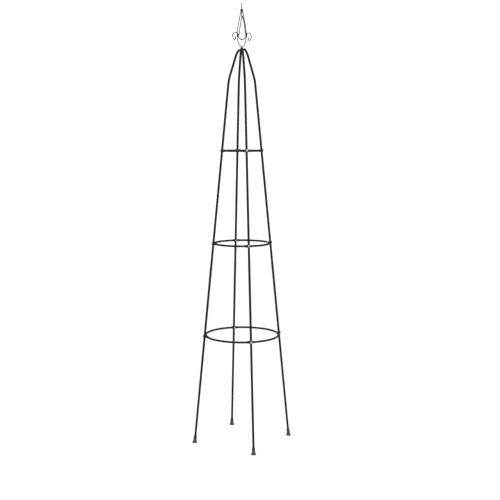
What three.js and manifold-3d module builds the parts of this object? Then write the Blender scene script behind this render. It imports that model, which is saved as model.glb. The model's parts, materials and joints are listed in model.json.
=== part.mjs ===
// Garden obelisk: four plastic-coated steel tube legs, three bolted rings, a stacked hub and a wire finial.
// Millimetres, +Z up. The origin is on the ground, on the obelisk's own axis.
// Each leg comes apart into four tubes. A tube's narrowed top end, its spigot, goes into the tube above,
// and the bolt that holds a ring goes through both tubes and so locks the joint.
import * as THREE from "three";
import { mergeVertices } from "three/addons/utils/BufferGeometryUtils.js";
import Module from "manifold-3d";

const wasm = await Module();
wasm.setup();

// ---- Driving dimensions ----

const HEIGHT = 1900; // ground to the finial's tip
const FOOT_SPREAD = 215; // obelisk axis to a leg's axis, on the ground
const LEG_SLOPE = 0.1; // how far a leg leans in for each unit it rises
const RING_HEIGHTS = { bottom: 475, middle: 880, top: 1280 };
const GAP = 0.3; // clearance between pieces that touch

const TUBE = { radius: 5, bore: 4.2 };
const SPIGOT = { radius: 3.9, bore: 3.1, below: 17, above: 22, taper: 3 }; // heights from the ring's bolt
const RING_ROD = { radius: 4.5, padThickness: 5, padHeight: 12, padFlat: 6.5, padRunOut: 17 };
const PAD_CROWDING = 0.7; // draws a ring's sections together at its pads
const BOLT = { radius: 2.45, length: 22, headRadius: 5.8, headHeight: 3.8 };
const HEAD_DOME = { rim: 0.35, shoulderOut: 0.65, shoulderUp: 0.85 }; // shares of the head's height and radius
const NUT = { acrossFlats: 8, height: 4 };
const FOOT = { flange: 10.5, flangeHeight: 4, flare: 8, sleeve: 7, height: 30, floor: 5, rim: 1, sunk: 4 };

const KNEE = { height: 1578, radius: 180 }; // where the leg first bends in
const SHOULDER = { radius: 80, lean: 37, run: 16 }; // its corner is `run` before the end of the round tube
const TUBE_END = { x: 13, drop: 1.4 }; // where the round tube stops, below the middle of its tab
const TAB = { thickness: 1.8, halfWidth: 7.5, root: 8.2, runIn: 2.6, nose: [0.5, 0.8, 0.97] };
const STACK = { bottom: 1701.2, order: ["front", "left", "rear", "right"] }; // lowest tab first
const STUD = { radius: 3, end: 1690, collarFoot: 5.6, collarFootHeight: 1.2, collarTop: 3.4 };
const HUB_WASHER = { upperRadius: 7, lowerRadius: 7.6, thickness: 1.4 };
const HUB_NUT = { acrossFlats: 10, height: 5.2 };

const WIRE = 1.8; // radius of the finial's bent wires
const SPIKE = { foot: 1842, radius: 2, taper: 3, tip: 0.6 }; // the point starts `taper` below the tip
const BESIDE_SPIKE = WIRE + SPIKE.radius + GAP; // middle of a wire that lies against the spike
const SCROLL_PLANE = -BESIDE_SPIKE; // the scroll and the inner loop are in front of the outer loop
const SCROLL_TILT = 1.8; // degrees, right side low
const SCROLL_MIDDLE = 1760; // height that it is tilted about
const INNER_LOOP_SHIFT = 1.4; // to the right of the finial's middle
const LOOP_FOOT = 1717.1; // the outer loop's lowest centreline point

const LEG_AZIMUTH = { right: 0, rear: 90, left: 180, front: 270 };
const TUBE_SIDES = 10;
const FOOT_SIDES = 12;
const HOLE_SIDES = 8;
const RING_FACETS = { around: 8, along: 56 };
const WIRE_SIDES = 8;
const BEND_STEPS = 4; // in each bend of a leg
const WIRE_STEPS = { outerLoop: 44, scroll: 56, innerLoop: 22 };

// ---- Derived dimensions ----

const LEAN = Math.atan(LEG_SLOPE);
const HOLE = BOLT.radius + GAP;
const TAB_PITCH = TAB.thickness + GAP;
const STACK_TOP = STACK.bottom + 4 * TAB_PITCH - GAP;

const legRadiusAt = (z) => FOOT_SPREAD - LEG_SLOPE * z;
const alongLeg = (z) => z / Math.cos(LEAN); // distance up a leg's axis from the ground

// A ring's bolt is square to the leg. These are places along it, measured outwards from the leg's axis.
const HEAD_SEAT = TUBE.radius + GAP;
const PAD_MIDDLE = -(TUBE.radius + GAP + RING_ROD.padThickness / 2);
const NUT_SEAT = PAD_MIDDLE - RING_ROD.padThickness / 2 - GAP;
const onBolt = (z, out) =>
  new THREE.Vector3(legRadiusAt(z) + out * Math.cos(LEAN), 0, z + out * Math.sin(LEAN));

// ---- Materials ----

const paint = (name, color, roughness, metalness) =>
  new THREE.MeshStandardMaterial({ name, color, roughness, metalness });
const COATED_STEEL = paint("coated_steel", 0x17181a, 0.42, 0.1);
const BLACK_WIRE = paint("black_wire", 0x1b1b1d, 0.5, 0.3);
const ZINC = paint("zinc_steel", 0xb9bcc0, 0.35, 0.9);
const BLACK_PLASTIC = paint("black_plastic", 0x121314, 0.6, 0);

// ---- Solids ----

function solid(geometry) {
  const bare = geometry.clone();
  bare.deleteAttribute("normal");
  bare.deleteAttribute("uv");
  const merged = mergeVertices(bare, 1e-3);
  return new wasm.Manifold(
    new wasm.Mesh({
      numProp: 3,
      vertProperties: merged.getAttribute("position").array,
      triVerts: new Uint32Array(merged.index.array),
    }),
  );
}

function geometryOf(manifold) {
  const { vertProperties, triVerts } = manifold.getMesh();
  const made = new THREE.BufferGeometry()
    .setAttribute("position", new THREE.BufferAttribute(new Float32Array(vertProperties), 3))
    .setIndex(new THREE.BufferAttribute(new Uint32Array(triVerts), 1));
  made.computeVertexNormals();
  return made;
}

function mesh(name, geometry, material) {
  const made = new THREE.Mesh(geometry, material);
  made.name = name;
  return made;
}

// A solid of revolution about +Z, from a closed profile of [radius, height] pairs.
function turned(profile, sides) {
  const points = [...profile, profile[0]].map(([r, z]) => new THREE.Vector2(r, z));
  return new THREE.LatheGeometry(points, sides).rotateX(Math.PI / 2);
}

// A cylinder along X, centred on the origin.
const crossBar = (radius, length) =>
  new THREE.CylinderGeometry(radius, radius, length, HOLE_SIDES).rotateZ(Math.PI / 2);

// A curve through hand-placed stations, so that straights take one step and bends take several.
class StationCurve extends THREE.Curve {
  constructor(stations) {
    super();
    this.stations = stations;
  }
  getPoint(t, target = new THREE.Vector3()) {
    const last = this.stations.length - 1;
    const place = Math.min(Math.max(t, 0), 1) * last;
    const i = Math.min(Math.floor(place), last - 1);
    return target.lerpVectors(this.stations[i], this.stations[i + 1], place - i);
  }
  getPointAt(u, target) {
    return this.getPoint(u, target);
  }
  getTangent(t, target = new THREE.Vector3()) {
    const last = this.stations.length - 1;
    const i = Math.round(t * last);
    const ahead = this.stations[Math.min(i + 1, last)].clone().sub(this.stations[Math.min(i, last - 1)]);
    const behind = this.stations[Math.max(i, 1)].clone().sub(this.stations[Math.max(i - 1, 0)]);
    return target.copy(ahead.normalize().add(behind.normalize())).normalize();
  }
  getTangentAt(u, target) {
    return this.getTangent(u, target);
  }
}

function rodAlong(stations, radius, sides) {
  const section = new THREE.Shape();
  for (let i = 0; i < sides; i++) {
    const a = (2 * Math.PI * i) / sides;
    if (i === 0) section.moveTo(radius * Math.cos(a), radius * Math.sin(a));
    else section.lineTo(radius * Math.cos(a), radius * Math.sin(a));
  }
  section.closePath();
  return new THREE.ExtrudeGeometry(section, {
    steps: stations.length - 1,
    extrudePath: new StationCurve(stations),
    bevelEnabled: false,
  });
}

// ---- Bent centrelines, in the XZ plane ----

const point = (x, z, y = 0) => new THREE.Vector3(x, y, z);
const leaning = (degrees) => {
  const a = THREE.MathUtils.degToRad(degrees);
  return point(-Math.sin(a), Math.cos(a));
};

const leanBetween = (low, high) => THREE.MathUtils.radToDeg(Math.atan2(low.x - high.x, high.z - low.z));

// The stations of an arc that rounds the corner at `corner`, turning from one lean to another.
function roundedCorner(corner, leanIn, leanOut, radius) {
  const turn = THREE.MathUtils.degToRad(leanOut - leanIn);
  const start = corner.clone().addScaledVector(leaning(leanIn), -radius * Math.tan(turn / 2));
  const inward = leaning(leanIn + 90);
  const centre = start.clone().addScaledVector(inward, radius);
  return Array.from({ length: BEND_STEPS + 1 }, (_, i) =>
    centre.clone().addScaledVector(leaning(leanIn + ((leanOut - leanIn) * i) / BEND_STEPS + 90), -radius),
  );
}

// ---- Leg tubes ----

// A straight tube with a spigot on top. It starts at height z0, and its spigot passes the ring at zRing.
function straightTube(name, z0, zRing, drilledAt) {
  const start = alongLeg(z0);
  const shoulder = alongLeg(zRing - SPIGOT.below) - start;
  const end = alongLeg(zRing + SPIGOT.above) - start;
  const profile = [
    [TUBE.bore, 0],
    [TUBE.radius, 0],
    [TUBE.radius, shoulder],
    [SPIGOT.radius, shoulder],
    [SPIGOT.radius, end],
    [SPIGOT.bore, end],
    [SPIGOT.bore, shoulder - SPIGOT.taper],
    [TUBE.bore, shoulder - 3 * SPIGOT.taper],
  ];
  let body = solid(turned(profile, TUBE_SIDES));
  for (const z of drilledAt)
    body = body.subtract(solid(crossBar(HOLE, 4 * TUBE.radius).translate(0, 0, alongLeg(z) - start)));
  const tube = mesh(name, geometryOf(body), COATED_STEEL);
  tube.position.set(legRadiusAt(z0), 0, z0);
  tube.rotation.y = -LEAN;
  return tube;
}

// Presses the top tube's last stretch flat and level, into a tab with a rounded end.
function pressTab(geometry, tabMiddle) {
  const place = geometry.getAttribute("position");
  for (let i = 0; i < place.count; i++) {
    const x = place.getX(i);
    if (x > TAB.root + TAB.runIn) continue;
    const round = THREE.MathUtils.smoothstep(x, TAB.root, TAB.root + TAB.runIn);
    const reach = THREE.MathUtils.lerp(TAB.thickness / 2, 2 * TUBE.radius, round);
    const widening = THREE.MathUtils.lerp(TAB.halfWidth / TUBE.radius, 1, round);
    const rounding = Math.sqrt(1 - Math.min(x / TAB.halfWidth, 0) ** 2);
    place.setY(i, place.getY(i) * widening * rounding);
    place.setZ(i, tabMiddle + THREE.MathUtils.clamp(place.getZ(i) - tabMiddle, -reach, reach));
  }
  return geometry;
}

function topTube(name, z0, drilledAt, tabLevel) {
  const tabMiddle = STACK.bottom + tabLevel * TAB_PITCH + TAB.thickness / 2;
  const legLean = THREE.MathUtils.radToDeg(LEAN);
  const start = point(legRadiusAt(z0), z0);
  const tubeEnd = point(TUBE_END.x, tabMiddle - TUBE_END.drop);
  const knee = point(legRadiusAt(KNEE.height), KNEE.height);
  const shoulder = tubeEnd.clone().addScaledVector(leaning(SHOULDER.lean), -SHOULDER.run);
  const domeLean = leanBetween(knee, shoulder);
  const bends = [
    ...roundedCorner(knee, legLean, domeLean, KNEE.radius),
    ...roundedCorner(shoulder, domeLean, SHOULDER.lean, SHOULDER.radius),
  ];
  const tab = [TAB.root + TAB.runIn, TAB.root, 0, ...TAB.nose.map((share) => -share * TAB.halfWidth)];
  const stations = [start, ...bends, tubeEnd, ...tab.map((x) => point(x, tabMiddle))];
  const outer = solid(pressTab(rodAlong(stations, TUBE.radius, TUBE_SIDES), tabMiddle));
  const belowStart = start.clone().addScaledVector(leaning(legLean), -1);
  const bore = solid(rodAlong([belowStart, ...bends], TUBE.bore, TUBE_SIDES));
  const hole = STUD.radius + GAP;
  const studHole = new THREE.CylinderGeometry(hole, hole, 4 * TAB.thickness, HOLE_SIDES)
    .rotateX(Math.PI / 2)
    .translate(0, 0, tabMiddle);
  let body = outer.subtract(bore).subtract(solid(studHole));
  for (const z of drilledAt)
    body = body.subtract(
      solid(crossBar(HOLE, 4 * TUBE.radius).rotateY(-LEAN).translate(legRadiusAt(z), 0, z)),
    );
  return mesh(name, geometryOf(body), COATED_STEEL);
}

// The plastic foot: a sleeve over the tube's end with a wide rim, cut level with the ground.
function foot(name) {
  const profile = [
    [0, -FOOT.sunk],
    [FOOT.flange, -FOOT.sunk],
    [FOOT.flange, FOOT.flangeHeight],
    [FOOT.sleeve, FOOT.flangeHeight + FOOT.flare],
    [FOOT.sleeve, FOOT.height - 2 * FOOT.rim],
    [FOOT.sleeve - FOOT.rim, FOOT.height],
    [TUBE.radius + GAP, FOOT.height],
    [TUBE.radius + GAP, FOOT.floor],
    [0, FOOT.floor],
  ];
  const leaned = turned(profile, FOOT_SIDES).rotateY(-LEAN);
  const [wide, deep] = [4 * FOOT.flange, 4 * FOOT.sunk];
  const ground = new THREE.BoxGeometry(wide, wide, deep).translate(0, 0, -deep / 2);
  const made = mesh(name, geometryOf(solid(leaned).subtract(solid(ground))), BLACK_PLASTIC);
  made.position.set(FOOT_SPREAD, 0, 0);
  return made;
}

// ---- Rings and their fasteners ----

// A rod ring, pressed flat and tall at the four bolts, where it leans with the legs.
function ring(name, z) {
  const { x: radius, z: height } = onBolt(z, PAD_MIDDLE);
  const made = new THREE.TorusGeometry(radius, RING_ROD.radius, RING_FACETS.around, RING_FACETS.along);
  const place = made.getAttribute("position");
  for (let i = 0; i < place.count; i++) {
    const even = Math.atan2(place.getY(i), place.getX(i));
    const angle = even - (PAD_CROWDING * Math.sin(4 * even)) / 4;
    const toPad = Math.abs(angle - (Math.PI / 2) * Math.round(angle / (Math.PI / 2))) * radius;
    const round = THREE.MathUtils.smoothstep(toPad, RING_ROD.padFlat, RING_ROD.padRunOut);
    const thin = THREE.MathUtils.lerp(RING_ROD.padThickness / 2 / RING_ROD.radius, 1, round);
    const tall = THREE.MathUtils.lerp(RING_ROD.padHeight / 2 / RING_ROD.radius, 1, round);
    const up = place.getZ(i) * tall;
    const thick = (Math.hypot(place.getX(i), place.getY(i)) - radius) * thin;
    const out = radius + thick - LEG_SLOPE * up * (1 - round);
    place.setXYZ(i, out * Math.cos(angle), out * Math.sin(angle), up);
  }
  let body = solid(made);
  for (const azimuth of Object.values(LEG_AZIMUTH)) {
    const drill = crossBar(HOLE, 4 * RING_ROD.padThickness).rotateY(-LEAN).translate(radius, 0, 0);
    body = body.subtract(solid(drill.rotateZ(THREE.MathUtils.degToRad(azimuth))));
  }
  const finished = mesh(name, geometryOf(body), COATED_STEEL);
  finished.position.z = height;
  return finished;
}

// A dome-headed bolt whose head bears on the outside of a leg. Its shank points inwards.
function ringBolt(name, z) {
  const { radius, length, headRadius, headHeight } = BOLT;
  const profile = [
    [0, -length],
    [radius, -length],
    [radius, 0],
    [headRadius, 0],
    [headRadius, headHeight * HEAD_DOME.rim],
    [headRadius * HEAD_DOME.shoulderOut, headHeight * HEAD_DOME.shoulderUp],
    [0, headHeight],
  ];
  const made = mesh(name, turned(profile, HOLE_SIDES).rotateY(Math.PI / 2 - LEAN), ZINC);
  made.position.copy(onBolt(z, HEAD_SEAT));
  return made;
}

// A plain hexagon nut lying on z = 0.
function nutGeometry({ acrossFlats, height }, hole) {
  const outline = new THREE.Shape();
  for (let i = 0; i < 6; i++) {
    const a = (Math.PI / 3) * i + Math.PI / 6;
    const corner = acrossFlats / 2 / Math.cos(Math.PI / 6);
    if (i === 0) outline.moveTo(corner * Math.cos(a), corner * Math.sin(a));
    else outline.lineTo(corner * Math.cos(a), corner * Math.sin(a));
  }
  outline.closePath();
  outline.holes.push(new THREE.Path().absarc(0, 0, hole, 0, 2 * Math.PI, true));
  const settings = { depth: height, bevelEnabled: false, curveSegments: HOLE_SIDES / 2 };
  return new THREE.ExtrudeGeometry(outline, settings);
}

function ringNut(name, z) {
  const made = mesh(name, nutGeometry(NUT, HOLE).rotateY(-Math.PI / 2 - LEAN), ZINC);
  made.position.copy(onBolt(z, NUT_SEAT));
  return made;
}

// ---- Hub ----

function washer(name, radius, z, material) {
  const top = HUB_WASHER.thickness;
  const hole = STUD.radius + GAP;
  const made = mesh(name, turned([[hole, 0], [radius, 0], [radius, top], [hole, top]], FOOT_SIDES), material);
  made.position.z = z;
  return made;
}

// The finial's threaded stud with its cone collar, which clamps the four tabs. The outer loop stands on it.
function finialStud(name) {
  const foot = STACK_TOP + 2 * GAP + HUB_WASHER.thickness;
  const top = LOOP_FOOT - WIRE - GAP;
  const profile = [
    [0, STUD.end],
    [STUD.radius, STUD.end],
    [STUD.radius, foot],
    [STUD.collarFoot, foot],
    [STUD.collarFoot, foot + STUD.collarFootHeight],
    [STUD.collarTop, top],
    [0, top],
  ];
  return mesh(name, turned(profile, TUBE_SIDES), BLACK_WIRE);
}

// ---- Finial wires ----

// Half of a symmetrical wire is given as [x, z] from the axis outwards; this mirrors it into one curve.
function mirrored(half, y) {
  const right = half.map(([x, z]) => point(x, z, y));
  const left = right.filter((p) => p.x > 0).map((p) => point(-p.x, p.z, y)).reverse();
  return new THREE.CatmullRomCurve3([...left, ...right], false, "centripetal");
}

function outerLoop(name) {
  const half = [
    [0, LOOP_FOOT], [4.2, 1718.2], [8.2, 1721.9], [11, 1725.8], [15.7, 1736.8], [18.7, 1750], [19.8, 1765],
    [18.9, 1781], [14.9, 1810], [8.2, 1843], [BESIDE_SPIKE + 0.7, 1862], [BESIDE_SPIKE, 1867],
    [BESIDE_SPIKE, 1873],
  ];
  const stations = mirrored(half, 0).getSpacedPoints(WIRE_STEPS.outerLoop);
  return mesh(name, rodAlong(stations, WIRE, WIRE_SIDES), BLACK_WIRE);
}

function scroll(name) {
  const half = [
    [0, 1747], [8.4, 1749.8], [14.6, 1758], [18.4, 1769], [23.2, 1774.8], [30.6, 1776],
    [37.6, 1771.5], [40.2, 1762.5], [37.8, 1752], [32.6, 1744.8], [28.6, 1748.8], [27.6, 1758.5],
  ];
  const wire = rodAlong(mirrored(half, 0).getSpacedPoints(WIRE_STEPS.scroll), WIRE, WIRE_SIDES);
  const made = mesh(name, wire.translate(0, 0, -SCROLL_MIDDLE), BLACK_WIRE);
  made.position.set(0, SCROLL_PLANE, SCROLL_MIDDLE);
  made.rotation.y = THREE.MathUtils.degToRad(SCROLL_TILT);
  return made;
}

// The inner hairpin stands on the scroll's arms, in the same plane, to the right of centre.
function innerLoop(name) {
  const half = [[0, 1844], [2.2, 1838.5], [5.6, 1824], [8.6, 1808], [12, 1783], [13.4, 1770.2]];
  const stations = mirrored(half, SCROLL_PLANE).getSpacedPoints(WIRE_STEPS.innerLoop);
  const made = mesh(name, rodAlong(stations, WIRE, WIRE_SIDES), BLACK_WIRE);
  made.position.x = INNER_LOOP_SHIFT;
  return made;
}

function spike(name) {
  const profile = [
    [0, SPIKE.foot],
    [SPIKE.radius, SPIKE.foot],
    [SPIKE.radius, HEIGHT - SPIKE.taper],
    [SPIKE.radius / 2, HEIGHT - SPIKE.tip],
    [0, HEIGHT],
  ];
  return mesh(name, turned(profile, WIRE_SIDES), BLACK_WIRE);
}

// ---- Assembly ----

function leg(side) {
  const made = new THREE.Group();
  const { bottom, middle, top } = RING_HEIGHTS;
  const above = (zRing) => zRing - SPIGOT.below + GAP;
  made.add(
    foot(`leg_${side}_foot`),
    straightTube(`leg_${side}_bottom_tube`, FOOT.floor + 1, bottom, [bottom]),
    straightTube(`leg_${side}_lower_tube`, above(bottom), middle, [bottom, middle]),
    straightTube(`leg_${side}_upper_tube`, above(middle), top, [middle, top]),
    topTube(`leg_${side}_top_tube`, above(top), [top], STACK.order.indexOf(side)),
  );
  for (const [level, z] of Object.entries(RING_HEIGHTS))
    made.add(ringBolt(`ring_${level}_bolt_${side}`, z), ringNut(`ring_${level}_nut_${side}`, z));
  made.rotation.z = THREE.MathUtils.degToRad(LEG_AZIMUTH[side]);
  return made;
}

function hub() {
  const made = new THREE.Group();
  const lowerWasher = STACK.bottom - GAP - HUB_WASHER.thickness;
  const nut = mesh("hub_nut", nutGeometry(HUB_NUT, STUD.radius + GAP), ZINC);
  nut.position.z = lowerWasher - GAP - HUB_NUT.height;
  made.add(
    nut,
    washer("hub_washer_lower", HUB_WASHER.lowerRadius, lowerWasher, ZINC),
    washer("hub_washer_upper", HUB_WASHER.upperRadius, STACK_TOP + GAP, BLACK_WIRE),
  );
  return made;
}

function finial() {
  const made = new THREE.Group();
  made.add(
    finialStud("finial_stud"),
    outerLoop("finial_outer_loop"),
    innerLoop("finial_inner_loop"),
    scroll("finial_scroll"),
    spike("finial_spike"),
  );
  return made;
}

const obelisk = new THREE.Group();
for (const side of Object.keys(LEG_AZIMUTH)) obelisk.add(leg(side));
for (const [level, z] of Object.entries(RING_HEIGHTS)) obelisk.add(ring(`ring_${level}`, z));
obelisk.add(hub(), finial());

export default obelisk;
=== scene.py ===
"""Garden obelisk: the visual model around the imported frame.

Sizes are in millimetres until mesh_object() makes metres.
"""
import json
import math

import bmesh
import bpy
from mathutils import Matrix, Vector, noise


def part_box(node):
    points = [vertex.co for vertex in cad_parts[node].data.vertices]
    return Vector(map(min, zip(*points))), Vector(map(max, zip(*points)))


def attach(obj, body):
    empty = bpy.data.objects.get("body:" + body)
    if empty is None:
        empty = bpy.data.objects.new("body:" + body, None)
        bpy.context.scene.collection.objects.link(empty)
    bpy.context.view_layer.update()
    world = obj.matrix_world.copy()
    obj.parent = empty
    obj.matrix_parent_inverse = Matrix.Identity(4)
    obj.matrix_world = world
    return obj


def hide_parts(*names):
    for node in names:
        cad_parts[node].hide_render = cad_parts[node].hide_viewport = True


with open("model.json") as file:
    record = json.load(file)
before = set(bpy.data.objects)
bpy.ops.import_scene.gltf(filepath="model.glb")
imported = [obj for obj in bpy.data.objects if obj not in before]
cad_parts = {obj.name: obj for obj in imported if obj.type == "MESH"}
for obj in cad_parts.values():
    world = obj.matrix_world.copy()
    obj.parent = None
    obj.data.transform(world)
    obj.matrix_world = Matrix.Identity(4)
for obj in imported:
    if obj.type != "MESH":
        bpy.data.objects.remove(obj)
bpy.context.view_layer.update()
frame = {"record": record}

MM = 0.001

# ---- Sizes that the frame holds ----

LEG_AZIMUTH = {"right": 0, "rear": 90, "left": 180, "front": 270}
LEVELS = ("bottom", "middle", "top")
FOOT_SPREAD = next(m["pos_m"][0] for m in frame["record"]["mounts"] if m["name"] == "foot_right") / MM


def box_mm(node):
    """The node's lowest and highest corner, in millimetres."""
    low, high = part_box(node)
    return low / MM, high / MM


def leg_slope():
    """How far a leg leans in for each unit it rises, from two like bolts on it."""
    lower, upper = box_mm("ring_bottom_bolt_right")[0], box_mm("ring_top_bolt_right")[0]
    return (lower.x - upper.x) / (upper.z - lower.z)


SLOPE = leg_slope()
LEAN = math.atan(SLOPE)

# ---- Sizes of sections and details ----

GAP = 0.3  # between pieces that touch
TUBE = 5.0
BORE = 4.2
SPIGOT = 3.9
SPIGOT_BORE = 3.1
SPIGOT_BELOW = 17  # the shoulder is this far below the ring's bolt
SPIGOT_ABOVE = 22
ROD = 4.5
PAD_THICKNESS = 5.0
PAD_HEIGHT = 12.0
HEAD_SEAT = TUBE + GAP  # from the leg's axis out to the bolt's head
PAD_MIDDLE = -(TUBE + GAP + PAD_THICKNESS / 2)
NUT_SEAT = PAD_MIDDLE - PAD_THICKNESS / 2 - GAP
HEAD_RADIUS = 5.8
HEAD_HEIGHT = 3.8
HEAD_RIM = 0.7
SHANK = 2.45
BOLT_LENGTH = 22
BOLT_PITCH = 0.8
NUT_FLATS = 8.0
NUT_HEIGHT = 4.0
STUD = 3.0
STUD_PITCH = 1.0
HUB_NUT_FLATS = 10.0
HUB_NUT_HEIGHT = 5.2
WIRE = 1.8
SPIKE = 2.0
SMOOTH = 40  # sides of a tube
FINE = 24  # sides of a wire or a rod


def leg_x(z):
    return FOOT_SPREAD - SLOPE * z


def ring_height(level):
    """Height at which the level's bolts cross the legs' axes."""
    low, high = box_mm(f"ring_{level}")
    return (low.z + high.z) / 2 - PAD_MIDDLE * math.sin(LEAN)


# ---- Mesh code ----


def circle(radius, sides, centre=Vector(), across=Vector((1, 0, 0)), along=Vector((0, 1, 0))):
    """A ring of points about a centre, in the plane of two unit vectors."""
    turns = (2 * math.pi * i / sides for i in range(sides))
    return [centre + across * (radius * math.cos(a)) + along * (radius * math.sin(a)) for a in turns]


def skin(rings, closed=False):
    """A bmesh that joins each ring of points to the next. Open ends are capped."""
    made = bmesh.new()
    rows = [[made.verts.new(p) for p in ring] for ring in rings]
    pairs = list(zip(rows, rows[1:])) + ([(rows[-1], rows[0])] if closed else [])
    for low, high in pairs:
        for i in range(len(low)):
            j = (i + 1) % len(low)
            made.faces.new((low[i], low[j], high[j], high[i]))
    if not closed:
        made.faces.new(list(reversed(rows[0])))
        made.faces.new(rows[-1])
    bmesh.ops.recalc_face_normals(made, faces=made.faces)
    return made


def turned(profile, sides, closed=False):
    """A solid of revolution about Z, from [radius, height] pairs."""
    return skin([circle(r, sides, Vector((0, 0, z))) for r, z in profile], closed)


def swept(stations, radii, sides, across_y=Vector((0, 1, 0))):
    """A round rod through stations that lie in a plane square to Y, with a radius for each."""
    rings = []
    last = len(stations) - 1
    for i, (centre, radius) in enumerate(zip(stations, radii)):
        tangent = (stations[min(i + 1, last)] - stations[max(i - 1, 0)]).normalized()
        rings.append(circle(radius, sides, centre, tangent.cross(across_y), across_y))
    return skin(rings)


DEGENERATE = 1e-6  # an edge shorter than this, in metres, is closed up


def mark_edges(mesh, angle=math.radians(38)):
    """Clears slivers, keeps creases sharp, and marks them in the wear attribute that materials read."""
    made = bmesh.new()
    made.from_mesh(mesh)
    bmesh.ops.triangulate(made, faces=[face for face in made.faces if len(face.verts) > 4])
    bmesh.ops.dissolve_degenerate(made, dist=DEGENERATE, edges=made.edges)
    wear = made.verts.layers.float.new("wear")
    for face in made.faces:
        face.smooth = True
    for edge in made.edges:
        if len(edge.link_faces) == 2 and edge.calc_face_angle(0) > angle:
            edge.smooth = False
            for vertex in edge.verts:
                vertex[wear] = 1.0
    made.to_mesh(mesh)
    made.free()


def mesh_object(name, parts, place=Matrix.Identity(4)):
    """One object from bmeshes in millimetres, moved by `place` and brought to metres."""
    whole = bpy.data.meshes.new(name)
    joined = bmesh.new()
    for part in parts:
        part.transform(place)
        scratch = bpy.data.meshes.new("scratch")
        part.to_mesh(scratch)
        part.free()
        joined.from_mesh(scratch)
        bpy.data.meshes.remove(scratch)
    joined.transform(Matrix.Scale(MM, 4))
    joined.to_mesh(whole)
    joined.free()
    made = bpy.data.objects.new(name, whole)
    bpy.context.scene.collection.objects.link(made)
    return made


def cut_away(obj, cutter):
    """Takes the cutter's shape out of an object, and removes the cutter."""
    cut = obj.modifiers.new("cut", "BOOLEAN")
    cut.operation = "DIFFERENCE"
    cut.solver = "EXACT"
    cut.object = cutter
    depsgraph = bpy.context.evaluated_depsgraph_get()
    mesh = bpy.data.meshes.new_from_object(obj.evaluated_get(depsgraph))
    obj.modifiers.clear()
    obj.data = mesh
    bpy.data.objects.remove(cutter)


def drilled(obj, drills):
    """Cuts round holes. Each drill is a place matrix, a radius and a length, along the place's Z."""
    for place, radius, length in drills:
        bit = turned([(radius, -length / 2), (radius, length / 2)], FINE)
        cut_away(obj, mesh_object("bit", [bit], place))
    return obj


def piece(obj, node, material):
    """Finishes a piece that stands for a CAD node."""
    mark_edges(obj.data)
    obj.data.materials.clear()
    obj.data.materials.append(material)
    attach(obj, "root")
    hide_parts(node)


# ---- Places ----


def about_axis(side):
    return Matrix.Rotation(math.radians(LEG_AZIMUTH[side]), 4, "Z")


def on_leg(z):
    """The leg's own frame at height z: Z runs up the leg, X out from the obelisk."""
    return Matrix.Translation((leg_x(z), 0, z)) @ Matrix.Rotation(-LEAN, 4, "Y")


def on_bolt(z, out):
    """A frame on a ring's bolt, `out` beyond the leg's axis, with Z outwards."""
    return on_leg(z) @ Matrix.Translation((out, 0, 0)) @ Matrix.Rotation(math.pi / 2, 4, "Y")


# ---- Materials ----


class Paint:
    """A Principled material whose colour, roughness and relief come from procedural nodes."""

    def __init__(self, name):
        self.material = bpy.data.materials.new(name)
        self.material.use_nodes = True
        self.tree = self.material.node_tree
        self.shader = self.tree.nodes["Principled BSDF"]
        self.place = self.node("ShaderNodeTexCoord").outputs["Object"]

    def node(self, kind, **settings):
        made = self.tree.nodes.new(kind)
        for key, value in settings.items():
            setattr(made, key, value)
        return made

    def put(self, source, socket):
        if isinstance(source, bpy.types.NodeSocket):
            self.tree.links.new(source, socket)
        else:
            socket.default_value = source

    def constant(self, **values):
        """Sets the shader's own sockets. An underscore in a name stands for a space."""
        for name, value in values.items():
            self.shader.inputs[name.replace("_", " ")].default_value = value

    def noise(self, scale, detail=4, stretch=(1, 1, 1), roughness=0.55):
        mapping = self.node("ShaderNodeMapping")
        self.put(self.place, mapping.inputs["Vector"])
        mapping.inputs["Scale"].default_value = stretch
        made = self.node("ShaderNodeTexNoise")
        self.put(mapping.outputs["Vector"], made.inputs["Vector"])
        self.put(scale, made.inputs["Scale"])
        self.put(detail, made.inputs["Detail"])
        self.put(roughness, made.inputs["Roughness"])
        return made.outputs["Fac"]

    def spread(self, value, low, high, start=0.0, end=1.0):
        """Maps low..high of a value to start..end, clamped."""
        made = self.node("ShaderNodeMapRange")
        self.put(value, made.inputs["Value"])
        self.put(low, made.inputs["From Min"])
        self.put(high, made.inputs["From Max"])
        self.put(start, made.inputs["To Min"])
        self.put(end, made.inputs["To Max"])
        return made.outputs["Result"]

    def sum(self, a, b, operation="ADD"):
        made = self.node("ShaderNodeMath", operation=operation)
        self.put(a, made.inputs[0])
        self.put(b, made.inputs[1])
        return made.outputs["Value"]

    def mix(self, share, a, b):
        made = self.node("ShaderNodeMix", data_type="RGBA")
        self.put(share, made.inputs["Factor"])
        self.put(a, made.inputs[6])
        self.put(b, made.inputs[7])
        return made.outputs[2]

    def attribute(self, name):
        return self.node("ShaderNodeAttribute", attribute_name=name).outputs["Fac"]

    def height(self):
        made = self.node("ShaderNodeSeparateXYZ")
        self.put(self.place, made.inputs[0])
        return made.outputs["Z"]

    def upward(self):
        """How far the surface faces up, from -1 to 1."""
        made = self.node("ShaderNodeSeparateXYZ")
        self.put(self.node("ShaderNodeNewGeometry").outputs["Normal"], made.inputs[0])
        return made.outputs["Z"]

    def relief(self, height, strength, distance_mm):
        made = self.node("ShaderNodeBump")
        self.put(strength, made.inputs["Strength"])
        self.put(distance_mm * MM, made.inputs["Distance"])
        self.put(height, made.inputs["Height"])
        self.put(made.outputs["Normal"], self.shader.inputs["Normal"])

    def finish(self, colour, roughness):
        self.put(colour, self.shader.inputs["Base Color"])
        self.put(roughness, self.shader.inputs["Roughness"])
        return self.material


def grey(value, tint=(1.0, 1.0, 1.0)):
    return (value * tint[0], value * tint[1], value * tint[2], 1.0)


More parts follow.
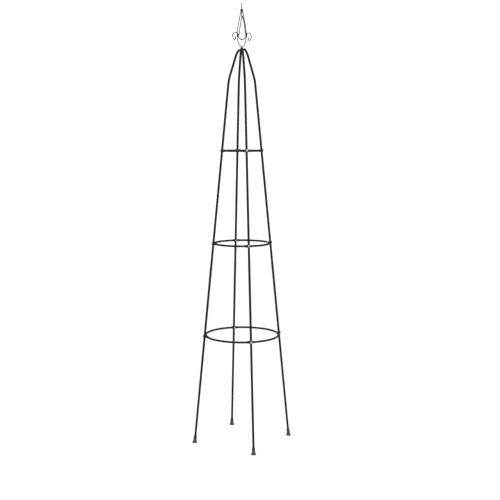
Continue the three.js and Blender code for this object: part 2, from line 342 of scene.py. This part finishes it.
def coated_steel():
    """Black plastic coating on steel: orange peel, faint draw lines, dust on top, scuffed edges."""
    paint = Paint("coated_steel")
    paint.constant(Metallic=0.0, IOR=1.45, Specular_IOR_Level=0.18)
    tone = paint.mix(paint.noise(60, 5), grey(0.003, (0.95, 1.0, 1.08)), grey(0.008, (0.97, 1.0, 1.04)))
    dust = paint.sum(
        paint.spread(paint.noise(240, 8), 0.52, 0.78), paint.spread(paint.upward(), -0.2, 0.9), "MULTIPLY"
    )
    dusty = paint.mix(paint.sum(dust, 0.15, "MULTIPLY"), tone, grey(0.16, (1.0, 0.95, 0.86)))
    scuff = paint.sum(paint.attribute("wear"), paint.spread(paint.noise(900, 3), 0.5, 0.62), "MULTIPLY")
    worn = paint.mix(paint.sum(scuff, 0.28, "MULTIPLY"), dusty, grey(0.16))
    rough = paint.spread(paint.noise(35, 6), 0.3, 0.7, 0.4, 0.55)
    rough = paint.sum(rough, paint.sum(dust, 0.25, "MULTIPLY"))
    lines = paint.noise(500, 2, stretch=(1, 1, 0.03))
    peel = paint.noise(620, 2)
    paint.relief(paint.sum(peel, paint.sum(lines, 0.5, "MULTIPLY")), 0.35, 0.06)
    return paint.finish(worn, rough)


def black_wire():
    """Black paint on welded wire: satin, a little thin and brown in scattered patches."""
    paint = Paint("black_wire")
    paint.constant(Metallic=0.0, IOR=1.45, Specular_IOR_Level=0.15)
    tone = paint.mix(paint.noise(150, 6), grey(0.003), grey(0.008, (1.03, 1.0, 0.97)))
    thin = paint.spread(paint.noise(420, 7), 0.62, 0.76)
    worn = paint.mix(paint.sum(thin, 0.4, "MULTIPLY"), tone, grey(0.08, (1.15, 0.95, 0.82)))
    paint.relief(paint.noise(900, 4), 0.4, 0.05)
    return paint.finish(worn, paint.spread(paint.noise(80, 5), 0.3, 0.7, 0.36, 0.56))


def zinc_steel():
    """Zinc plate, painted darker than bright zinc as painted shade from dark surroundings: cloudy,
    fine-scratched, with a little white bloom.
    """
    paint = Paint("zinc_steel")
    paint.constant(Metallic=1.0, IOR=1.5)
    # Both cloud greys sit below zinc's own colour: painted shade over a random cloudy tone.
    cloud_and_painted_shade = paint.mix(paint.noise(700, 5), grey(0.2, (0.96, 1.0, 1.05)), grey(0.38, (1.0, 1.0, 1.01)))
    bloom = paint.spread(paint.noise(1400, 6), 0.6, 0.75)
    tone = paint.mix(paint.sum(bloom, 0.3, "MULTIPLY"), cloud_and_painted_shade, grey(0.6))
    rough = paint.spread(paint.noise(500, 6), 0.3, 0.7, 0.2, 0.42)
    scratches = paint.noise(2600, 2, stretch=(1, 0.08, 1))
    paint.relief(scratches, 0.25, 0.02)
    return paint.finish(tone, rough)


SOIL_HEIGHT = 16  # soil dust is gone this far above the ground


def black_plastic():
    """Moulded black plastic: fine grain, rubbed edges, and soil dust that thins out above the ground."""
    paint = Paint("black_plastic")
    paint.constant(Metallic=0.0, IOR=1.46, Specular_IOR_Level=0.4)
    tone = paint.mix(paint.noise(200, 5), grey(0.014), grey(0.028))
    patches = paint.spread(paint.noise(380, 8), 0.4, 0.7)
    near_ground = paint.spread(paint.height(), 0.0, SOIL_HEIGHT * MM, 1.0, 0.0)
    soil = paint.sum(patches, near_ground, "MULTIPLY")
    soiled = paint.mix(paint.sum(soil, 0.55, "MULTIPLY"), tone, grey(0.13, (1.15, 0.95, 0.72)))
    rubbed = paint.sum(paint.attribute("wear"), paint.spread(paint.noise(700, 3), 0.45, 0.6), "MULTIPLY")
    worn = paint.mix(paint.sum(rubbed, 0.4, "MULTIPLY"), soiled, grey(0.09))
    paint.relief(paint.noise(2200, 3), 0.3, 0.04)
    return paint.finish(worn, paint.spread(paint.noise(150, 5), 0.3, 0.7, 0.5, 0.72))


# ---- Legs ----


HOLE_MARGIN = 5.0  # a tube has a ring of points this far each side of a hole, so that wear stays near it


def near_holes(holes, foot_z, low, high):
    """Distances up a tube that starts at foot_z, each side of its holes, between two limits."""
    places = [(z - foot_z) / math.cos(LEAN) + side for z in holes for side in (-HOLE_MARGIN, HOLE_MARGIN)]
    return [place for place in places if low < place < high]


def straight_tube(side, part, foot_z, ring_z, holes):
    """A tube with a swaged spigot on top, which starts at foot_z and passes the ring at ring_z."""
    along = 1 / math.cos(LEAN)
    shoulder = (ring_z - SPIGOT_BELOW - foot_z) * along
    end = (ring_z + SPIGOT_ABOVE - foot_z) * along
    profile = [
        (BORE, 0), (TUBE - 0.25, 0), (TUBE - 0.07, 0.08), (TUBE, 0.3),
        *((TUBE, place) for place in near_holes(holes, foot_z, 1, shoulder - 2)),
        (TUBE, shoulder - 1.1), (TUBE - 0.08, shoulder - 0.55), (TUBE - 0.35, shoulder - 0.15),
        (SPIGOT + 0.15, shoulder), (SPIGOT, shoulder + 0.4),
        *((SPIGOT, place) for place in near_holes(holes, foot_z, shoulder + 1, end - 1)),
        (SPIGOT, end - 0.6), (SPIGOT - 0.25, end),
        (SPIGOT_BORE, end), (SPIGOT_BORE, shoulder - 3), (BORE, shoulder - 9),
    ]
    place = about_axis(side) @ on_leg(foot_z)
    tube = mesh_object(f"{side}_leg_{part}_tube", [turned(profile, SMOOTH, closed=True)], place)
    return drilled(tube, [(about_axis(side) @ on_bolt(z, 0), SHANK + GAP, 4 * TUBE) for z in holes])


def arc(corner, lean_in, lean_out, radius, steps=14):
    """Stations that round a corner of the leg's path, which turns from one lean to another."""
    start = corner - leaning(lean_in) * (radius * math.tan((lean_out - lean_in) / 2))
    centre = start + leaning(lean_in + math.pi / 2) * radius
    leans = (lean_in + (lean_out - lean_in) * i / steps for i in range(steps + 1))
    return [centre - leaning(a + math.pi / 2) * radius for a in leans]


def leaning(angle):
    """The direction that rises while it leans in towards the obelisk's axis."""
    return Vector((-math.sin(angle), 0, math.cos(angle)))


def smooth_step(value, low, high):
    share = min(max((value - low) / (high - low), 0), 1)
    return share * share * (3 - 2 * share)


KNEE_HEIGHT = 1578
KNEE_RADIUS = 180
SHOULDER_RADIUS = 80
SHOULDER_LEAN = math.radians(37)
SHOULDER_RUN = 16
TAB_THICKNESS = 1.8
TAB_HALF_WIDTH = 7.5
TAB_ROOT = 8.2
TUBE_END = 13.0
TUBE_END_DROP = 1.4
PRESSED = (TAB_ROOT - 1.0, TUBE_END - 1.0)  # distances from the axis where a tube is flat and is round
SOCKET_DEPTH = 45  # how much of the top tube's bore is modelled
HANDLE_STEPS = 12
TAB_STEPS = 16


def top_tube(side, foot_z, hole_z):
    """The tube that bends twice into the dome and ends pressed flat, in a tab under the finial."""
    tab = leg_tab_middle(side)
    start = Vector((leg_x(foot_z), 0, foot_z))
    tube_end = Vector((TUBE_END, 0, tab - TUBE_END_DROP))
    knee = Vector((leg_x(KNEE_HEIGHT), 0, KNEE_HEIGHT))
    shoulder = tube_end - leaning(SHOULDER_LEAN) * SHOULDER_RUN
    dome_lean = math.atan2(knee.x - shoulder.x, shoulder.z - knee.z)
    path = [
        start,
        start + leaning(LEAN) * 0.3,
        *(start + leaning(LEAN) * place for place in near_holes([hole_z], foot_z, 1, KNEE_HEIGHT - foot_z)),
        *arc(knee, LEAN, dome_lean, KNEE_RADIUS),
        *arc(shoulder, dome_lean, SHOULDER_LEAN, SHOULDER_RADIUS),
    ]
    # The pressed stretch follows the last arc: a curve that levels out, then the flat tab.
    last = path[-1]
    flat = Vector((PRESSED[0], 0, tab))
    handle = tube_end + leaning(SHOULDER_LEAN) * (TUBE_END_DROP / math.cos(SHOULDER_LEAN))
    for i in range(1, HANDLE_STEPS + 1):
        t = i / HANDLE_STEPS
        path.append(last * (1 - t) ** 2 + handle * (2 * t * (1 - t)) + flat * t**2)
    for i in range(1, TAB_STEPS + 1):
        x = flat.x - (flat.x + TAB_HALF_WIDTH) * math.sin(math.pi / 2 * i / TAB_STEPS)
        path.append(Vector((max(x, -TAB_HALF_WIDTH * 0.998), 0, tab)))
    rings = tube_rings(path, tab)
    sideways = Vector((0, 1, 0))
    inside = [
        circle(BORE, SMOOTH, p, leaning(LEAN).cross(sideways), sideways)
        for p in (start + leaning(LEAN) * SOCKET_DEPTH, start)
    ]
    tube = mesh_object(f"{side}_leg_top_tube", [skin(inside + rings)], about_axis(side))
    stud_hole = (Matrix.Translation((0, 0, tab)), STUD + GAP, 4 * TAB_THICKNESS)
    bolt_hole = (about_axis(side) @ on_bolt(hole_z, 0), SHANK + GAP, 4 * TUBE)
    return drilled(tube, [stud_hole, bolt_hole])


def leg_tab_middle(side):
    """Height of the middle of a leg's tab. The four are stacked under the upper washer, one gap apart."""
    stack_top = box_mm("hub_washer_upper")[0].z - GAP
    order = ["right", "rear", "left", "front"]
    return stack_top - order.index(side) * (TAB_THICKNESS + GAP) - TAB_THICKNESS / 2


def tube_rings(path, tab):
    """Sections along the top tube's path: round, then squeezed to the tab's thickness and width."""
    rings = []
    last = len(path) - 1
    for i, centre in enumerate(path):
        tangent = (path[min(i + 1, last)] - path[max(i - 1, 0)]).normalized()
        across = tangent.cross(Vector((0, 1, 0)))
        squeeze = 1 - smooth_step(centre.x, *PRESSED) if centre.z > tab - 20 else 0
        reach = TUBE + (TAB_THICKNESS / 2 - TUBE) * squeeze
        width = TUBE + (TAB_HALF_WIDTH - TUBE) * squeeze
        nose = math.sqrt(max(1 - min(centre.x / TAB_HALF_WIDTH, 0) ** 2, 0.002))
        lip = TUBE - 0.2 if i == 0 else TUBE
        ring = []
        for k in range(SMOOTH):
            a = 2 * math.pi * k / SMOOTH
            thick = max(-reach, min(reach, lip * math.cos(a)))
            ring.append(centre + across * thick + Vector((0, width * nose * math.sin(a) * lip / TUBE, 0)))
        rings.append(ring)
    return rings


FOOT_RADIUS = 10.5
FOOT_SLEEVE = 7.0
FOOT_HEIGHT = 30.0
FOOT_FLOOR = 5.0


def foot(side):
    """The plastic cap on a leg's end, moulded square to the leg and cut level with the ground."""
    profile = [
        (FOOT_RADIUS - 1.1, 0), (FOOT_RADIUS - 0.3, 0.25), (FOOT_RADIUS, 1.0), (FOOT_RADIUS, 3.0),
        (FOOT_RADIUS - 0.25, 4.0), (FOOT_RADIUS - 0.9, 4.9), (FOOT_SLEEVE + 1.0, 7.6),
        (FOOT_SLEEVE + 0.3, 10.0), (FOOT_SLEEVE, 12.5), (FOOT_SLEEVE, FOOT_HEIGHT - 3.2),
        (FOOT_SLEEVE + 0.25, FOOT_HEIGHT - 2.6), (FOOT_SLEEVE + 0.25, FOOT_HEIGHT - 1.2),
        (FOOT_SLEEVE - 0.3, FOOT_HEIGHT - 0.3), (FOOT_SLEEVE - 0.8, FOOT_HEIGHT),
        (TUBE + GAP + 0.2, FOOT_HEIGHT), (TUBE + GAP, FOOT_HEIGHT - 0.4), (TUBE + GAP, FOOT_FLOOR),
    ]
    rings = []
    for radius, height in profile:
        ring = []
        for point in circle(radius, SMOOTH):
            tilt = smooth_step(height, 0, FOOT_HEIGHT / 3)  # level at the ground, square to the leg higher up
            x = FOOT_SPREAD + point.x - SLOPE * height
            ring.append(Vector((x, point.y, height + point.x * SLOPE * tilt)))
        rings.append(ring)
    return mesh_object(f"{side}_foot", [skin(rings)], about_axis(side))


# ---- Rings and fasteners ----

PAD_FLAT = 6.5
PAD_RUN_OUT = 18.0
RING_SECTIONS = 192
WELD_AZIMUTH = 135  # where a ring's two ends are welded together
WELD_WIDTH = 3.2
WELD_HEIGHT = 0.55
CROWDING = 0.17  # draws the ring's sections towards the pads, where the shape changes


def ring(level):
    """A rod bent round and welded end to end, pressed flat and tall where each bolt goes through."""
    z = ring_height(level)
    middle = on_bolt(z, PAD_MIDDLE).translation
    rings = []
    for i in range(RING_SECTIONS):
        even = 2 * math.pi * i / RING_SECTIONS
        angle = even - CROWDING * math.sin(4 * even)
        to_pad = abs(angle - math.pi / 2 * round(angle / (math.pi / 2))) * middle.x
        press = 1 - smooth_step(to_pad, PAD_FLAT, PAD_RUN_OUT)
        to_weld = abs(angle - math.radians(WELD_AZIMUTH)) * middle.x
        lump = 1 + 0.4 * noise.noise(Vector((i * 0.9, z, 0)))
        bead = WELD_HEIGHT * math.exp(-((to_weld / WELD_WIDTH) ** 2)) * lump
        reach = ROD + bead + (PAD_THICKNESS / 2 - ROD) * press
        tall = ROD + bead + (PAD_HEIGHT / 2 - ROD) * press
        out = Vector((math.cos(angle), math.sin(angle), 0))
        section = []
        for k in range(FINE):
            a = 2 * math.pi * k / FINE
            thick = max(-reach, min(reach, (ROD + bead) * math.cos(a)))
            up = tall * math.sin(a)
            section.append(out * (middle.x + thick - SLOPE * up * press) + Vector((0, 0, middle.z + up)))
        rings.append(section)
    made = mesh_object(f"{level}_ring", [skin(rings, closed=True)])
    drills = [(about_axis(side) @ on_bolt(z, PAD_MIDDLE), SHANK + GAP, 4 * ROD) for side in LEG_AZIMUTH]
    return drilled(made, drills)


def thread(radius, low, high, pitch, depth, sides=20):
    """A screw thread about Z: the crest winds up once round for each pitch."""
    steps = max(int((high - low) / pitch * 5), 2)
    rings = []
    for j in range(steps + 1):
        z = low + (high - low) * j / steps
        ring = []
        for i in range(sides):
            turn = i / sides
            phase = (z / pitch - turn) % 1
            r = radius - depth * (1 - abs(2 * phase - 1))
            if j in (0, steps):
                r = radius - depth
            ring.append(Vector((r * math.cos(2 * math.pi * turn), r * math.sin(2 * math.pi * turn), z)))
        rings.append(ring)
    return rings


def bolt(level, side):
    """A cross-recessed truss-head bolt: plain under the head, threaded where the nut is."""
    dome_steps = 9
    threads = thread(SHANK, -BOLT_LENGTH + 0.3, -BOLT_LENGTH / 2, BOLT_PITCH, 0.35, FINE)
    tip = [circle(share * SHANK, FINE, Vector((0, 0, -BOLT_LENGTH))) for share in (0.45, 0.78)]
    plain = [circle(SHANK, FINE, Vector((0, 0, z))) for z in (0.2 - BOLT_LENGTH / 2, -0.3)]
    dome = []
    for i in range(dome_steps):
        a = math.pi / 2 * i / dome_steps
        r = HEAD_RADIUS * math.cos(a)
        dome.append((r, HEAD_RIM + (HEAD_HEIGHT - HEAD_RIM) * math.sin(a)))
    head = [(HEAD_RADIUS - 0.25, 0), (HEAD_RADIUS - 0.03, 0.15), *dome]
    rings = tip + threads + plain + [circle(r, FINE, Vector((0, 0, z))) for r, z in head]
    place = about_axis(side) @ on_bolt(ring_height(level), HEAD_SEAT)
    made = mesh_object(f"{level}_ring_{side}_bolt", [skin(rings)], place)
    return cross_recessed(made, place)


SLOT_WIDTH = 0.95
SLOT_DEPTH = 1.45  # below the top of the dome
SLOT_NARROWS = (0.45, 0.6)  # a slot's length and width at its bottom, as shares of those at the top


def cross_recessed(obj, place):
    """Sinks a screwdriver's cross into a bolt's head."""
    size = Matrix.Diagonal((HEAD_RADIUS * 0.95, SLOT_WIDTH, 2 * HEAD_HEIGHT, 1))
    lift = Matrix.Translation((0, 0, 2 * HEAD_HEIGHT - SLOT_DEPTH))
    for turn in (0, math.pi / 2):
        slot = bmesh.new()
        bmesh.ops.create_cube(slot, size=1)
        for vertex in slot.verts:
            if vertex.co.z < 0:
                vertex.co.x *= SLOT_NARROWS[0]
                vertex.co.y *= SLOT_NARROWS[1]
        slot.transform(place @ lift @ Matrix.Rotation(turn, 4, "Z") @ size)
        cut_away(obj, mesh_object("slot", [slot]))
    return obj


def nut_mesh(flats, height, hole, pitch, sides=72):
    """A hexagon nut about Z with chamfered corners and a ridged bore."""
    half = flats / 2
    chamfer = math.tan(math.radians(30))
    flat_ring = 0.94 * half

    def hexagon(at_top):
        points = []
        for i in range(sides):
            a = 2 * math.pi * i / sides
            r = half / math.cos((a % (math.pi / 3)) - math.pi / 6)
            drop = (r - flat_ring) * chamfer
            points.append(Vector((r * math.cos(a), r * math.sin(a), height - drop if at_top else drop)))
        return points

    ridges = max(int(height / pitch), 2)
    bore = []
    for i in range(ridges * 2 + 1):
        z = height - 0.3 - (height - 0.6) * i / (ridges * 2)
        bore.append(circle(hole + (0.25 if i % 2 else 0.0), sides, Vector((0, 0, z))))
    rings = [
        circle(hole + 0.4, sides),
        circle(flat_ring, sides),
        hexagon(False),
        hexagon(True),
        circle(flat_ring, sides, Vector((0, 0, height))),
        circle(hole + 0.4, sides, Vector((0, 0, height))),
        *bore,
    ]
    return skin(rings, closed=True)


def nut(level, side):
    place = about_axis(side) @ on_bolt(ring_height(level), NUT_SEAT) @ Matrix.Rotation(math.pi, 4, "Y")
    spin = Matrix.Rotation(math.radians(17 * (LEVELS.index(level) + 1) + LEG_AZIMUTH[side]), 4, "Z")
    body = nut_mesh(NUT_FLATS, NUT_HEIGHT, SHANK + 0.05, BOLT_PITCH)
    return mesh_object(f"{level}_ring_{side}_nut", [body], place @ spin)


# ---- Hub ----


def washer(node, name):
    low, high = box_mm(node)
    radius = (high.y - low.y) / 2
    hole = STUD + GAP
    edge = 0.15
    profile = [
        (hole, low.z + edge), (hole + edge, low.z),
        (radius - edge, low.z), (radius, low.z + edge),
        (radius, high.z - edge * 2), (radius - edge * 2, high.z),
        (hole + edge, high.z), (hole, high.z - edge),
    ]
    return mesh_object(name, [turned(profile, 56, closed=True)])


def hub_nut():
    low = box_mm("hub_nut")[0]
    body = nut_mesh(HUB_NUT_FLATS, HUB_NUT_HEIGHT, STUD + 0.1, STUD_PITCH)
    return mesh_object("nut_under_hub", [body], Matrix.Translation((0, 0, low.z)))


COLLAR_FOOT = 5.6
COLLAR_TOP = 3.4
COLLAR_FOOT_HEIGHT = 1.2


def stud():
    """The finial's stud: a turned cone collar above the stack, a thread through it."""
    low, high = box_mm("finial_stud")
    seat = box_mm("hub_washer_upper")[1].z + GAP
    threads = thread(STUD, low.z + 0.3, seat - 1.2, STUD_PITCH, 0.4, SMOOTH)
    tip = [circle(share * STUD, SMOOTH, Vector((0, 0, low.z))) for share in (0.5, 0.8)]
    foot_top = seat + COLLAR_FOOT_HEIGHT
    collar = [
        (STUD - 0.1, seat - 1.0), (STUD - 0.1, seat), (COLLAR_FOOT - 0.3, seat), (COLLAR_FOOT, seat + 0.3),
        (COLLAR_FOOT, foot_top - 0.3), (COLLAR_FOOT - 0.3, foot_top), (COLLAR_TOP + 1.0, foot_top + 0.5),
        (COLLAR_TOP + 0.3, high.z - 0.5), (COLLAR_TOP, high.z - 0.15), (COLLAR_TOP - 0.4, high.z),
    ]
    rings = tip + threads + [circle(r, SMOOTH, Vector((0, 0, z))) for r, z in collar]
    return mesh_object("finial_threaded_stud", [skin(rings)])


# ---- Finial ----

BESIDE = WIRE + SPIKE + GAP  # the middle of a wire that lies against the spike
SCROLL_Y = -BESIDE
SCROLL_TILT = math.radians(1.8)
SCROLL_MIDDLE = 1760
INNER_LOOP_SHIFT = 1.4

OUTER_LOOP = [
    (0, 1717.1), (4.2, 1718.2), (8.2, 1721.9), (11, 1725.8), (15.7, 1736.8), (18.7, 1750), (19.8, 1765),
    (18.9, 1781), (14.9, 1810), (8.2, 1843), (BESIDE + 0.7, 1862), (BESIDE, 1867), (BESIDE, 1873),
]
SCROLL = [
    (0, 1747), (8.4, 1749.8), (14.6, 1758), (18.4, 1769), (23.2, 1774.8), (30.6, 1776),
    (37.6, 1771.5), (40.2, 1762.5), (37.8, 1752), (32.6, 1744.8), (28.6, 1748.8), (27.6, 1758.5),
]
INNER_LOOP = [(0, 1844), (2.2, 1838.5), (5.6, 1824), (8.6, 1808), (12, 1783), (13.4, 1770.2)]


def catmull_rom(points, per_span=14):
    """A smooth curve through the points (centripetal, as the frame's wires are)."""
    ends = [points[0] * 2 - points[1], *points, points[-1] * 2 - points[-2]]
    made = []
    for p0, p1, p2, p3 in zip(ends, ends[1:], ends[2:], ends[3:]):
        t1 = (p1 - p0).length ** 0.5
        t2 = t1 + (p2 - p1).length ** 0.5
        t3 = t2 + (p3 - p2).length ** 0.5
        for i in range(per_span):
            t = t1 + (t2 - t1) * i / per_span
            a1 = p0 * ((t1 - t) / t1) + p1 * (t / t1)
            a2 = p1 * ((t2 - t) / (t2 - t1)) + p2 * ((t - t1) / (t2 - t1))
            a3 = p2 * ((t3 - t) / (t3 - t2)) + p3 * ((t - t2) / (t3 - t2))
            b1 = a1 * ((t2 - t) / t2) + a2 * (t / t2)
            b2 = a2 * ((t3 - t) / (t3 - t1)) + a3 * ((t - t1) / (t3 - t1))
            made.append(b1 * ((t2 - t) / (t2 - t1)) + b2 * ((t - t1) / (t2 - t1)))
    return made + [points[-1].copy()]


def mirrored(half, y=0.0):
    right = [Vector((x, y, z)) for x, z in half]
    left = [Vector((-p.x, y, p.z)) for p in reversed(right) if p.x > 0]
    return catmull_rom(left + right)


def wire(stations, swell=lambda centre: 0):
    """A painted wire with its cut ends rounded over. A weld on it swells it."""
    nose = 0.5
    first, last = stations[0], stations[-1]
    out_first = (first - stations[1]).normalized()
    out_last = (last - stations[-2]).normalized()
    path = [first + out_first * nose, first + out_first * nose * 0.7, *stations]
    path += [last + out_last * nose * 0.7, last + out_last * nose]
    ends = [WIRE * 0.45, WIRE * 0.85]
    return swept(path, ends + [WIRE + swell(p) for p in stations] + ends[::-1], FINE)


def weld(centre, radius, stretch, seed):
    """A lumpy bead of weld about a point."""
    bead = bmesh.new()
    bmesh.ops.create_icosphere(bead, subdivisions=3, radius=1)
    for vertex in bead.verts:
        lump = 1 + 0.16 * noise.noise(vertex.co * 1.7 + Vector((seed, 0, 0)))
        vertex.co = centre + Vector(c * s for c, s in zip(vertex.co * (radius * lump), stretch))
    return bead


def outer_loop():
    beads = [
        weld(Vector((0, 0, 1868.5)), 2.8, (1.9, 1.0, 2.5), 1.0),
        weld(Vector((0, 0, OUTER_LOOP[0][1] - 0.6)), 2.5, (1.5, 1.15, 0.8), 2.0),
    ]
    return mesh_object("finial_outer_wire", [wire(mirrored(OUTER_LOOP)), *beads])


ARM_WELD_X = 17.2  # where the left arm of the scroll is welded to the outer loop
ARM_WELD_Z = 1763.5
RIGHT_WELD = Vector((20.0, SCROLL_Y / 2, 1766.0))  # the right arm's, which is wider


def scroll_swell(centre):
    """Thicker where the scroll is welded: on both arms, and in the lap at the bottom of its dip."""
    arm = math.exp(-(((abs(centre.x) - ARM_WELD_X) / 3) ** 2) - ((centre.z - ARM_WELD_Z) / 7) ** 2)
    lap = math.exp(-((centre.x / 9) ** 4))
    return 0.6 * arm + 0.4 * lap * (1 + 0.4 * noise.noise(centre * 0.8))


def scroll():
    tilt = Matrix.Translation((0, 0, SCROLL_MIDDLE)) @ Matrix.Rotation(SCROLL_TILT, 4, "Y")
    place = tilt @ Matrix.Translation((0, 0, -SCROLL_MIDDLE))
    beads = [
        weld(Vector((-ARM_WELD_X, SCROLL_Y / 2, ARM_WELD_Z)), 2.3, (1.0, 1.3, 2.6), 2.0),
        weld(RIGHT_WELD, 2.8, (1.15, 1.1, 2.7), 4.0),
    ]
    return mesh_object("finial_scroll_wire", [wire(mirrored(SCROLL, SCROLL_Y), scroll_swell), *beads], place)


def inner_loop():
    """The narrow loop under the spike. Beads weld its apex to the spike and its ends to the scroll's arms."""
    beads = [
        weld(Vector((-INNER_LOOP_SHIFT / 2, SCROLL_Y / 2, 1843.2)), 2.1, (1.1, 1.3, 1.3), 5.0),
        weld(Vector((-16.2, SCROLL_Y, 1768.6)), 1.9, (1.8, 1.0, 1.3), 6.0),
        weld(Vector((15.0, SCROLL_Y, 1768.6)), 1.9, (1.3, 1.0, 1.2), 7.0),
    ]
    return mesh_object(
        "finial_inner_wire",
        [wire(mirrored(INNER_LOOP, SCROLL_Y)), *beads],
        Matrix.Translation((INNER_LOOP_SHIFT, 0, 0)),
    )


def spike():
    low, high = box_mm("finial_spike")
    profile = [
        (SPIKE * 0.8, low.z), (SPIKE, low.z + 0.3), (SPIKE, high.z - 4), (SPIKE * 0.9, high.z - 2.4),
        (SPIKE * 0.6, high.z - 0.9), (SPIKE * 0.25, high.z - 0.1),
    ]
    return mesh_object("finial_spike_wire", [turned(profile, FINE)])


# ---- Assembly ----


def build():
    steel, plastic, zinc, black = coated_steel(), black_plastic(), zinc_steel(), black_wire()
    heights = {level: ring_height(level) for level in LEVELS}
    seam = {level: z - SPIGOT_BELOW + GAP for level, z in heights.items()}
    for side in LEG_AZIMUTH:
        tubes = {
            "bottom": straight_tube(side, "bottom", FOOT_FLOOR + 1, heights["bottom"], [heights["bottom"]]),
            "lower": straight_tube(
                side, "lower", seam["bottom"], heights["middle"], [heights["bottom"], heights["middle"]]
            ),
            "upper": straight_tube(
                side, "upper", seam["middle"], heights["top"], [heights["middle"], heights["top"]]
            ),
            "top": top_tube(side, seam["top"], heights["top"]),
        }
        for part, tube in tubes.items():
            piece(tube, f"leg_{side}_{part}_tube", steel)
        piece(foot(side), f"leg_{side}_foot", plastic)
        for level in LEVELS:
            piece(bolt(level, side), f"ring_{level}_bolt_{side}", zinc)
            piece(nut(level, side), f"ring_{level}_nut_{side}", zinc)
    for level in LEVELS:
        piece(ring(level), f"ring_{level}", steel)
    piece(washer("hub_washer_lower", "washer_under_hub"), "hub_washer_lower", zinc)
    piece(washer("hub_washer_upper", "washer_over_hub"), "hub_washer_upper", black)
    piece(hub_nut(), "hub_nut", zinc)
    piece(stud(), "finial_stud", black)
    piece(outer_loop(), "finial_outer_loop", black)
    piece(inner_loop(), "finial_inner_loop", black)
    piece(scroll(), "finial_scroll", black)
    piece(spike(), "finial_spike", black)


# ---- Floor, light and camera ----


FLOOR_RADIUS = 6000
FLOOR_THICKNESS = 2


def floor():
    paint = Paint("pale_floor")
    paint.constant(Metallic=0.0)
    tone = paint.mix(paint.noise(1.2, 3), grey(0.86), grey(0.88))
    made = mesh_object("floor", [turned([(FLOOR_RADIUS, -FLOOR_THICKNESS), (FLOOR_RADIUS, 0)], 96)])
    made.data.materials.append(paint.finish(tone, 0.8))


def softbox(name, place, target, size, power):
    light = bpy.data.lights.new(name, "AREA")
    light.shape = "RECTANGLE"
    light.size, light.size_y = size
    light.energy = power
    made = bpy.data.objects.new(name, light)
    made.location = place
    made.rotation_euler = (Vector(target) - Vector(place)).to_track_quat("-Z", "Y").to_euler()
    bpy.context.scene.collection.objects.link(made)


BACKDROP = 1.15  # what the camera sees: brighter than white, which makes thin dark lines read thinner
AMBIENT = 0.3  # what lights the object from all round
OVERHEAD = 2.9


def studio():
    """A white backdrop, a dimmer surround, one wide soft light overhead and two softboxes in front."""
    world = bpy.data.worlds.new("studio")
    world.use_nodes = True
    nodes, links = world.node_tree.nodes, world.node_tree.links
    seen = nodes.new("ShaderNodeMapRange")
    seen.inputs["To Min"].default_value = AMBIENT
    seen.inputs["To Max"].default_value = BACKDROP
    links.new(nodes.new("ShaderNodeLightPath").outputs["Is Camera Ray"], seen.inputs["Value"])
    sky = nodes["Background"]
    sky.inputs["Color"].default_value = (1, 1, 1, 1)
    links.new(seen.outputs["Result"], sky.inputs["Strength"])
    bpy.context.scene.world = world
    bpy.context.scene.view_settings.view_transform = "Standard"
    above = bpy.data.lights.new("overhead", "SUN")
    above.energy = OVERHEAD
    above.angle = math.radians(70)
    lamp = bpy.data.objects.new("overhead", above)
    lamp.rotation_euler = (math.radians(12), math.radians(-10), 0)
    bpy.context.scene.collection.objects.link(lamp)
    softbox("key", (0.5, -3.6, 2.4), (0, 0, 0.9), (1.4, 2.0), 75)
    softbox("fill", (2.2, -2.8, 2.0), (0, 0, 0.9), (0.8, 2.0), 20)


VIEW_AZIMUTH = math.radians(-13.0)
CAMERA_DISTANCE = 3.982
CAMERA_HEIGHT = 1.329
CAMERA_PITCH = math.radians(6.87)  # down from level
CAMERA_YAW = math.radians(0.5)  # right of the obelisk's axis
LENS = 66.3


def camera():
    data = bpy.data.cameras.new("camera")
    data.lens = LENS
    data.sensor_width = 36
    made = bpy.data.objects.new("camera", data)
    made.location = (
        CAMERA_DISTANCE * math.sin(VIEW_AZIMUTH), -CAMERA_DISTANCE * math.cos(VIEW_AZIMUTH), CAMERA_HEIGHT
    )
    made.rotation_euler = (math.pi / 2 - CAMERA_PITCH, 0, VIEW_AZIMUTH - CAMERA_YAW)
    bpy.context.scene.collection.objects.link(made)
    bpy.context.scene.camera = made


camera()
build()
floor()
studio()
